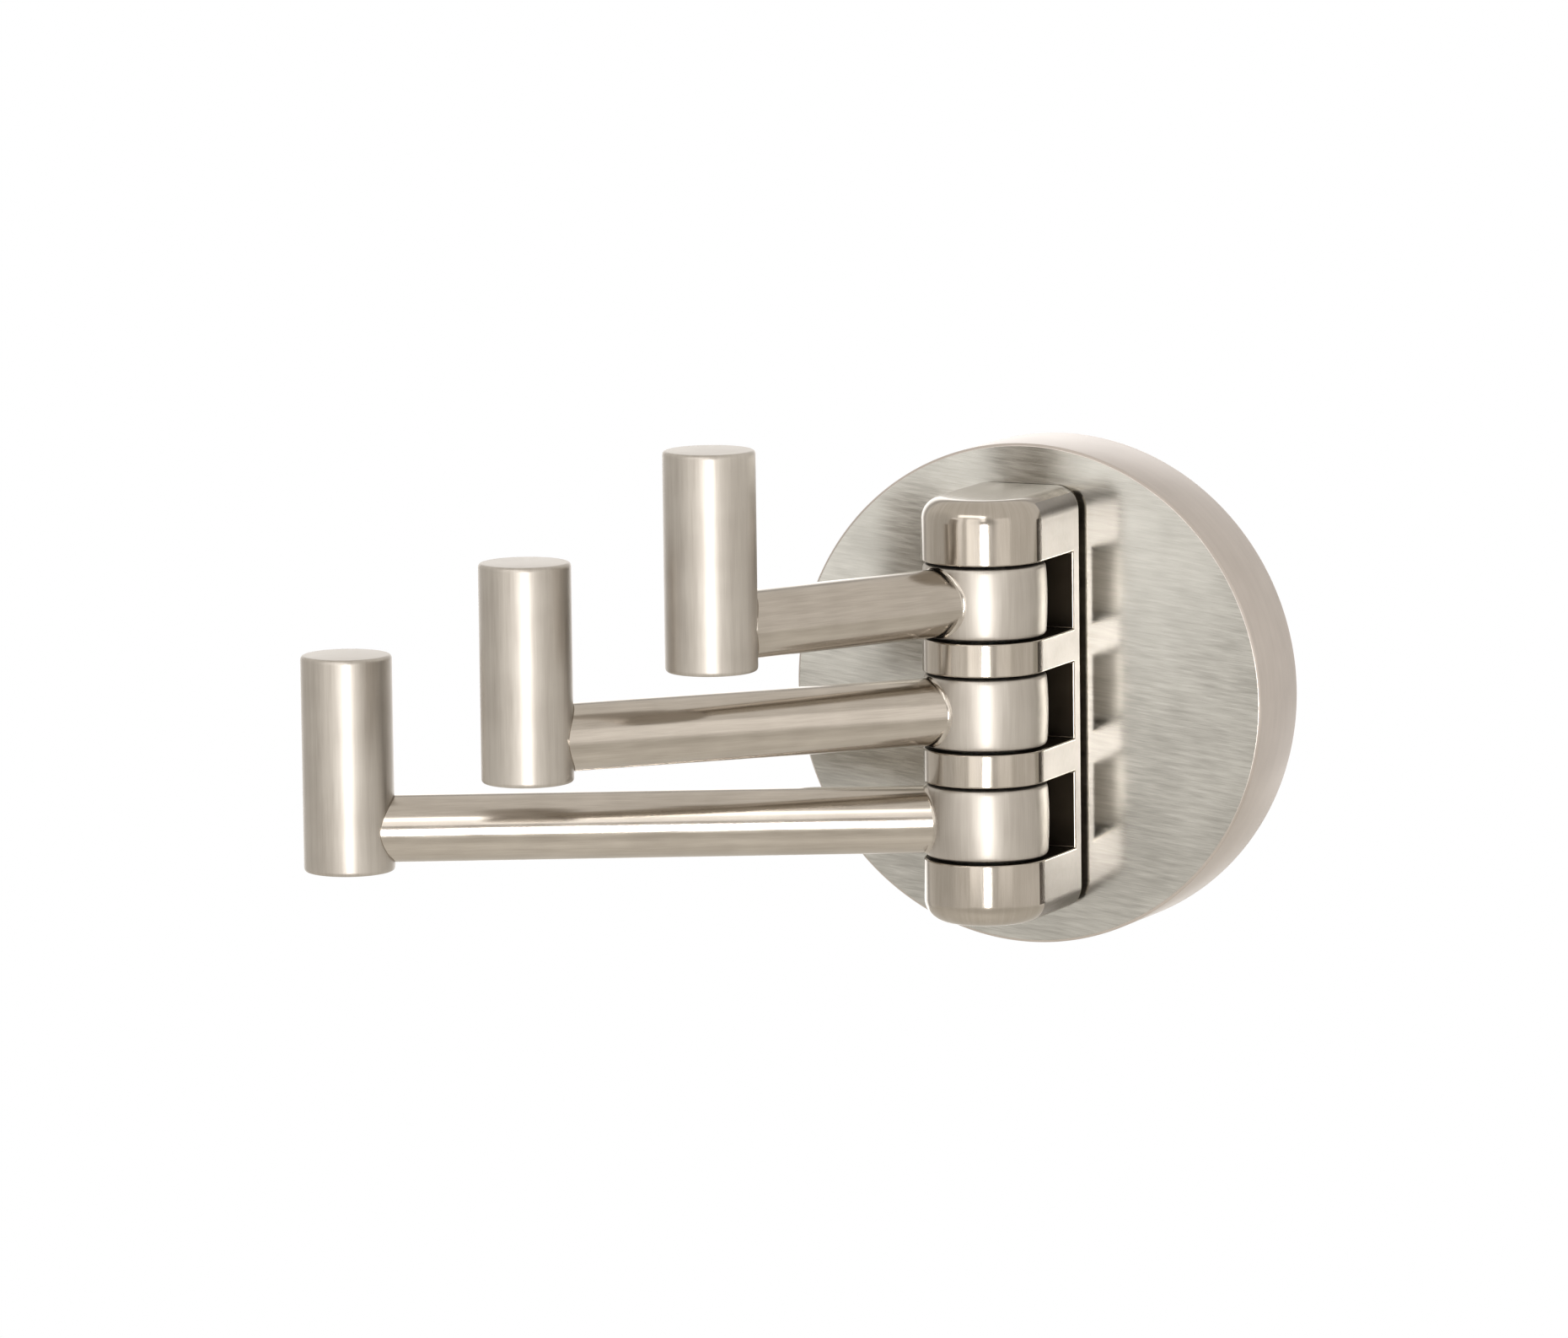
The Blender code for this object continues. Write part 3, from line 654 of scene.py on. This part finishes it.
def nickel(name, light, dark, rough, stroke, depth, lean):
    """light and dark are the two tones, rough the lowest and highest roughness, stroke its width and
    length in millimetres, depth the bump's height in millimetres, and lean the anisotropy."""
    material, tree = new_material(name)
    place = add(tree, "ShaderNodeUVMap", uv_map="Strokes").outputs[0]
    width, length = stroke
    scale = (1 / (width * MM), 1 / (length * MM), 1)
    fine_place = add(tree, "ShaderNodeMapping", {"Vector": place, "Scale": scale}).outputs[0]
    fine_inputs = {"Vector": fine_place, "Scale": 1.0, "Detail": 3.0, "Roughness": 0.6}
    fine = add(tree, "ShaderNodeTexNoise", fine_inputs)
    broad_scale = (0.22 / (width * MM), 0.5 / (length * MM), 1)
    broad_place = add(tree, "ShaderNodeMapping", {"Vector": place, "Scale": broad_scale}).outputs[0]
    broad = add(tree, "ShaderNodeTexNoise", {"Vector": broad_place, "Scale": 1.0, "Detail": 2.0})
    body = add(tree, "ShaderNodeTexCoord").outputs["Object"]
    cloud = add(tree, "ShaderNodeTexNoise", {"Vector": body, "Scale": 1 / CLOUD, "Detail": 2.0})
    both = add(tree, "ShaderNodeMath", {0: fine.outputs[0], 1: broad.outputs[0]}, operation="ADD")
    clouded = add(tree, "ShaderNodeMath", {0: both.outputs[0], 1: cloud.outputs[0]}, operation="ADD")
    tone = add(tree, "ShaderNodeMapRange", {0: clouded.outputs[0], 1: 1.15, 2: 1.85, 3: 0.0, 4: 1.0})
    colour = add(tree, "ShaderNodeValToRGB", {0: tone.outputs[0]})
    ramp_stops(colour, [(0.0, dark), (1.0, light)])
    gloss = add(tree, "ShaderNodeMapRange", {0: both.outputs[0], 1: 0.7, 2: 1.3, 3: rough[0], 4: rough[1]})
    bump = add(tree, "ShaderNodeBump", {"Height": both.outputs[0], "Strength": 1.0, "Distance": depth * MM})
    tangent = add(tree, "ShaderNodeTangent", direction_type="UV_MAP", uv_map="Strokes")
    shader = add(
        tree,
        "ShaderNodeBsdfPrincipled",
        {
            "Base Color": colour.outputs[0],
            "Metallic": 1.0,
            "Roughness": gloss.outputs[0],
            "Anisotropic": lean,
            "Normal": bump.outputs[0],
            "Tangent": tangent.outputs[0],
        },
    )
    finish_tree(tree, shader)
    return material


# Long level strokes that stretch every reflection upwards.
belt_brushed = nickel("belt_brushed_nickel", "#C2C0BA", "#A4A29C", (0.13, 0.21), (0.11, 3.0), 0.0003, 0.3)
# The rim is spun, so its strokes go round and its light is even.
rim_satin = nickel("rim_satin_nickel", "#C6BDB6", "#BBB2AB", (0.3, 0.36), (0.25, 6.0), 0.0006, 0.3)
# Soft enough to spread a narrow light into a broad white band.
wheel_satin = nickel("wheel_satin_nickel", "#BEB8B0", "#AEA79F", (0.38, 0.46), (0.16, 7.0), 0.0005, 0.0)
# Glossy enough to mirror the neighbouring arms as dark streaks.
rod_satin = nickel("rod_satin_nickel", "#BEB6AC", "#ADA59B", (0.15, 0.2), (0.16, 5.0), 0.0004, 0.0)
# Sharp, narrow lights on the caps and the lugs between the knuckles.
near_polished = nickel("near_polished_nickel", "#B4ACA2", "#A79F94", (0.13, 0.18), (0.16, 5.0), 0.0004, 0.0)
# An even grain without direction, paler than the front beside it.
flank_satin = nickel("flank_satin_nickel", "#918B86", "#817C77", (0.3, 0.4), (0.15, 0.6), 0.0006, 0.0)
# A painted shade line along each side: a dark band where the front turns into the flank.
painted_turn_shade = nickel("unpolished_turn_nickel", "#544B43", "#40382F", (0.2, 0.3), (0.16, 5.0), 0.0006, 0.0)
# Rough cast skin, darkened to near black as painted shade, so the pockets and the seam at the plate read as
# deep and dark.
painted_shade_cast = nickel("raw_cast_nickel", "#4A4238", "#241F1A", (0.35, 0.55), (0.4, 1.2), 0.012, 0.0)
nickels = [belt_brushed, rim_satin, wheel_satin, rod_satin, near_polished, flank_satin, painted_turn_shade, painted_shade_cast]
print("nickel finishes:", [finish.name for finish in nickels])

# %% [markdown]
# ## Hardware finishes
#
# Zinc plate is a cool grey with a faint yellow cast and a cloudy bloom. The hinge pin is ground
# round its length. Nylon and the plug's polypropylene are soft and slightly see-through, so light
# spreads under their surface.

# %% Mix the hardware finishes
def hardware(name, light, dark, rough, metallic, grain, depth, stretch=(1, 1, 1), under=0.0):
    """grain is the pattern's size and depth the bump's height in millimetres, stretch pulls the pattern
    along x, y and z, and under is how much light spreads below the surface."""
    material, tree = new_material(name)
    body = add(tree, "ShaderNodeTexCoord").outputs["Object"]
    scale = tuple(1 / (grain * MM * s) for s in stretch)
    place = add(tree, "ShaderNodeMapping", {"Vector": body, "Scale": scale}).outputs[0]
    grit_inputs = {"Vector": place, "Scale": 1.0, "Detail": 4.0, "Roughness": 0.55}
    grit = add(tree, "ShaderNodeTexNoise", grit_inputs)
    cells = add(tree, "ShaderNodeTexVoronoi", {"Vector": body, "Scale": 1 / (3 * grain * MM)})
    bloom_inputs = {0: grit.outputs[0], 1: cells.outputs["Distance"], 2: 0.2}
    bloom = add(tree, "ShaderNodeMath", bloom_inputs, operation="MULTIPLY_ADD")
    colour = add(tree, "ShaderNodeValToRGB", {0: bloom.outputs[0]})
    ramp_stops(colour, [(0.2, dark), (0.75, light)])
    gloss = add(tree, "ShaderNodeMapRange", {0: grit.outputs[0], 1: 0.3, 2: 0.7, 3: rough[0], 4: rough[1]})
    bump = add(tree, "ShaderNodeBump", {"Height": grit.outputs[0], "Strength": 1.0, "Distance": depth * MM})
    shader = add(
        tree,
        "ShaderNodeBsdfPrincipled",
        {
            "Base Color": colour.outputs[0],
            "Metallic": metallic,
            "Roughness": gloss.outputs[0],
            "Normal": bump.outputs[0],
            "Subsurface Weight": under,
            "Subsurface Scale": 0.001,
        },
    )
    finish_tree(tree, shader)
    return material


# A cool, slightly cloudy grey that shows only from behind.
zinc_plate = hardware("zinc_plated_steel", "#C3C6C5", "#AFB1AD", (0.3, 0.4), 1.0, 0.8, 0.002)
# Fine rings round the pin, and a sharp light along it.
ground_steel = hardware("ground_steel", "#C6C4C0", "#A9A7A3", (0.16, 0.26), 1.0, 0.25, 0.002, (6, 6, 0.4))
# Milky, with no glint.
nylon = hardware("natural_nylon", "#EDE9DC", "#DDD7C6", (0.42, 0.55), 0.0, 0.6, 0.004, under=0.15)
# A dull pale grey, a little waxy.
plug_plastic = hardware("polypropylene_plug", "#C4C6C7", "#B2B5B7", (0.45, 0.6), 0.0, 0.7, 0.006, under=0.1)
print("hardware finishes:", [finish.name for finish in (zinc_plate, ground_steel, nylon, plug_plastic)])

# %% [markdown]
# ## Dress the pieces and hang them on their bodies
#
# Each piece gets its finish and the body that it moves with. The imported pieces that stay
# get the hardware finishes on their own material slots.

# %% Dress every piece
def dress(piece, material, body):
    if piece.data.materials:
        piece.data.materials[0] = material
    else:
        piece.data.materials.append(material)
    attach(piece, body)


dress(plate, belt_brushed, "base")
plate.data.materials[1] = rim_satin
dress(bracket, near_polished, "base")
# Painted shade: the rear, the pocket walls and the lug ends are near black, to darken the pockets and the
# seam.
bracket.data.materials[CAST_WITH_PAINTED_SHADE] = painted_shade_cast
bracket.data.materials[FLANK] = flank_satin
# Painted shade: a dark band where the front turns into each flank.
bracket.data.materials[PAINTED_SHADE_LINE] = painted_turn_shade
for arm in ARMS:
    dress(knuckles[arm], wheel_satin, f"{arm}_arm")
    dress(posts[arm], wheel_satin, f"{arm}_arm")
    dress(rods[arm], rod_satin, f"{arm}_arm")
for piece in plugs:
    dress(piece, plug_plastic, "base")

HARDWARE = (("friction_washer", nylon), ("hinge_pin", ground_steel), ("", zinc_plate))
kept = [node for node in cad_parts.values() if not node.hide_render]
for node in kept:
    finish = next(material for start, material in HARDWARE if node.name.startswith(start))
    node.data.materials.clear()
    node.data.materials.append(finish)
print("packed pieces that stay:", len(kept))

# %% [markdown]
# ## The floor
#
# The hook hangs well above a plain pale floor, a painted disc wide enough to have no edge in sight.
# It is far enough down to send only a soft even light back up.

# %% Lay the floor
FLOOR_Z = -1.4
FLOOR_RADIUS = 4.0


def studio_floor():
    """A disc of rings: radius grows along the rows, and height stays level."""
    radius = np.linspace(0, FLOOR_RADIUS, 9)
    t = np.linspace(0, 2 * np.pi, 361)
    x, y = radius[:, None] * np.cos(t), radius[:, None] * np.sin(t)
    points = np.stack([x, y, np.full_like(x, FLOOR_Z)], -1)
    floor = skin("studio_floor", points[:, :-1], x, y)
    material, tree = new_material("pale_floor_paint")
    body = add(tree, "ShaderNodeTexCoord").outputs["Object"]
    mottle = add(tree, "ShaderNodeTexNoise", {"Vector": body, "Scale": 9.0, "Detail": 4.0})
    colour = add(tree, "ShaderNodeValToRGB", {0: mottle.outputs[0]})
    ramp_stops(colour, [(0.3, "#E4E2DE"), (0.7, "#F0EFEC")])
    inputs = {"Base Color": colour.outputs[0], "Roughness": 0.7}
    finish_tree(tree, add(tree, "ShaderNodeBsdfPrincipled", inputs))
    floor.data.materials.append(material)
    return floor


studio_floor()

# %% [markdown]
# ## The camera
#
# The camera stands 1.4 m away behind a long lens, to the right of the hook and a little above it, so
# that the arms fan out towards the left and parallel edges stay nearly parallel.

# %% Set the camera
camera_data = bpy.data.cameras.new("camera")
camera_data.lens = 237.4
camera_data.sensor_width = 36.0
camera_data.clip_start = 0.05
camera_data.clip_end = 50.0
camera = bpy.data.objects.new("camera", camera_data)
bpy.context.scene.collection.objects.link(camera)
EYE = Vector((0.53558, -1.25755, 0.19732))
AIM = Vector((-0.41274, 0.89979, -0.14150))
RIGHT = Vector((0.90959, 0.41533, -0.01214))
UP = RIGHT.cross(AIM)
turn = Matrix((RIGHT, UP, -AIM)).transposed().to_4x4()
camera.matrix_world = Matrix.Translation(EYE) @ turn
bpy.context.scene.camera = camera
bpy.context.scene.view_settings.view_transform = "Standard"
print("camera is", round(EYE.length, 3), "m away")

# %% [markdown]
# ## The lights
#
# Satin metal shows its surroundings as soft bands, so the lights are placed by the band each one
# draws. A narrow bright strip stands just under the lens and draws the white line down every upright
# surface. A fainter strip above it lights the tops of the rods. Panels at the left and right fill the
# shoulders of the posts, a window further left grades the plate from top to bottom, and a bar
# overhead bends round the top of the bracket.

# %% Hang the lights
TARGET = Vector((-0.02, -0.035, 0.0))
LENS_BEARING = math.degrees(math.atan2(-AIM.y, -AIM.x))


def softbox(name, bearing, rise, distance, width, height, power, tint="#FFFFFF"):
    """A rectangle of light at that bearing from the lens and that rise above level, facing the hook."""
    light = bpy.data.lights.new(name, "AREA")
    light.shape = "RECTANGLE"
    light.size, light.size_y = width, height
    light.energy = power
    light.color = linear(tint)[:3]
    a, e = math.radians(LENS_BEARING + bearing), math.radians(rise)
    away = Vector((math.cos(a) * math.cos(e), math.sin(a) * math.cos(e), math.sin(e)))
    box = bpy.data.objects.new(name, light)
    box.location = TARGET + away * distance
    box.rotation_mode = "QUATERNION"
    box.rotation_quaternion = away.to_track_quat("Z", "Y")
    box.visible_camera = False
    bpy.context.scene.collection.objects.link(box)
    return box


softbox("strip_below_lens", 0.6, -7.0, 1.6, 0.2, 0.42, 8.4)
softbox("strip_above_lens", -1.5, 28.0, 1.6, 0.2, 0.75, 0.9)
softbox("left_panel", -21.0, 8.0, 1.8, 0.75, 1.3, 3.4)
softbox("side_window", -52.0, 10.0, 1.8, 0.7, 1.1, 1.7)
softbox("right_panel", 34.0, 8.0, 1.8, 0.9, 1.3, 1.4)
softbox("overhead_bar", -26.0, 40.0, 1.5, 1.25, 0.3, 2.6)

# %% [markdown]
# ## The room
#
# Whatever isn't a lamp is mirrored too. Reflections see a pale room, a darker ring some way behind
# the hook and white straight behind it. The ring outlines the posts with a thin dark edge, because a
# round bar mirrors what lies behind it at its very rim. The view itself sees plain white.

# %% Colour the room
# Tones from behind the camera, 0, to straight behind the hook, 1.
ROOM_TONES = [
    (0.02, "#8E8B87"),
    (0.06, "#B6B3AE"),
    (0.83, "#B6B3AE"),
    (0.88, "#86837F"),
    (0.91, "#A8A5A1"),
    (0.94, "#FAF9F8"),
]


def room():
    """The tone follows the cosine between a direction and the camera's aim, and the strength falls off
    smoothly towards the far left."""
    world = bpy.data.worlds.new("room")
    bpy.context.scene.world = world
    world.use_nodes = True
    tree = world.node_tree
    tree.nodes.clear()
    way = add(tree, "ShaderNodeTexCoord").outputs["Generated"]
    far = add(tree, "ShaderNodeVectorMath", {0: way, 1: AIM}, operation="DOT_PRODUCT").outputs["Value"]
    share = add(tree, "ShaderNodeMapRange", {0: far, 1: -1.0, 2: 1.0, 3: 0.0, 4: 1.0})
    tone = add(tree, "ShaderNodeValToRGB", {0: share.outputs[0]})
    ramp_stops(tone, ROOM_TONES)
    side = add(tree, "ShaderNodeVectorMath", {0: way, 1: RIGHT}, operation="DOT_PRODUCT").outputs["Value"]
    level_inputs = {0: side, 1: -0.98, 2: -0.7, 3: 1.6, 4: 2.0}
    level = add(tree, "ShaderNodeMapRange", level_inputs, interpolation_type="SMOOTHSTEP")
    inside = add(tree, "ShaderNodeBackground", {"Color": tone.outputs[0], "Strength": level.outputs[0]})
    plain = add(tree, "ShaderNodeBackground", {"Color": (1, 1, 1, 1), "Strength": 1.0})
    seen = add(tree, "ShaderNodeLightPath").outputs["Is Camera Ray"]
    mix = add(tree, "ShaderNodeMixShader", {0: seen, 1: inside.outputs[0], 2: plain.outputs[0]})
    add(tree, "ShaderNodeOutputWorld", {"Surface": mix.outputs[0]})


room()
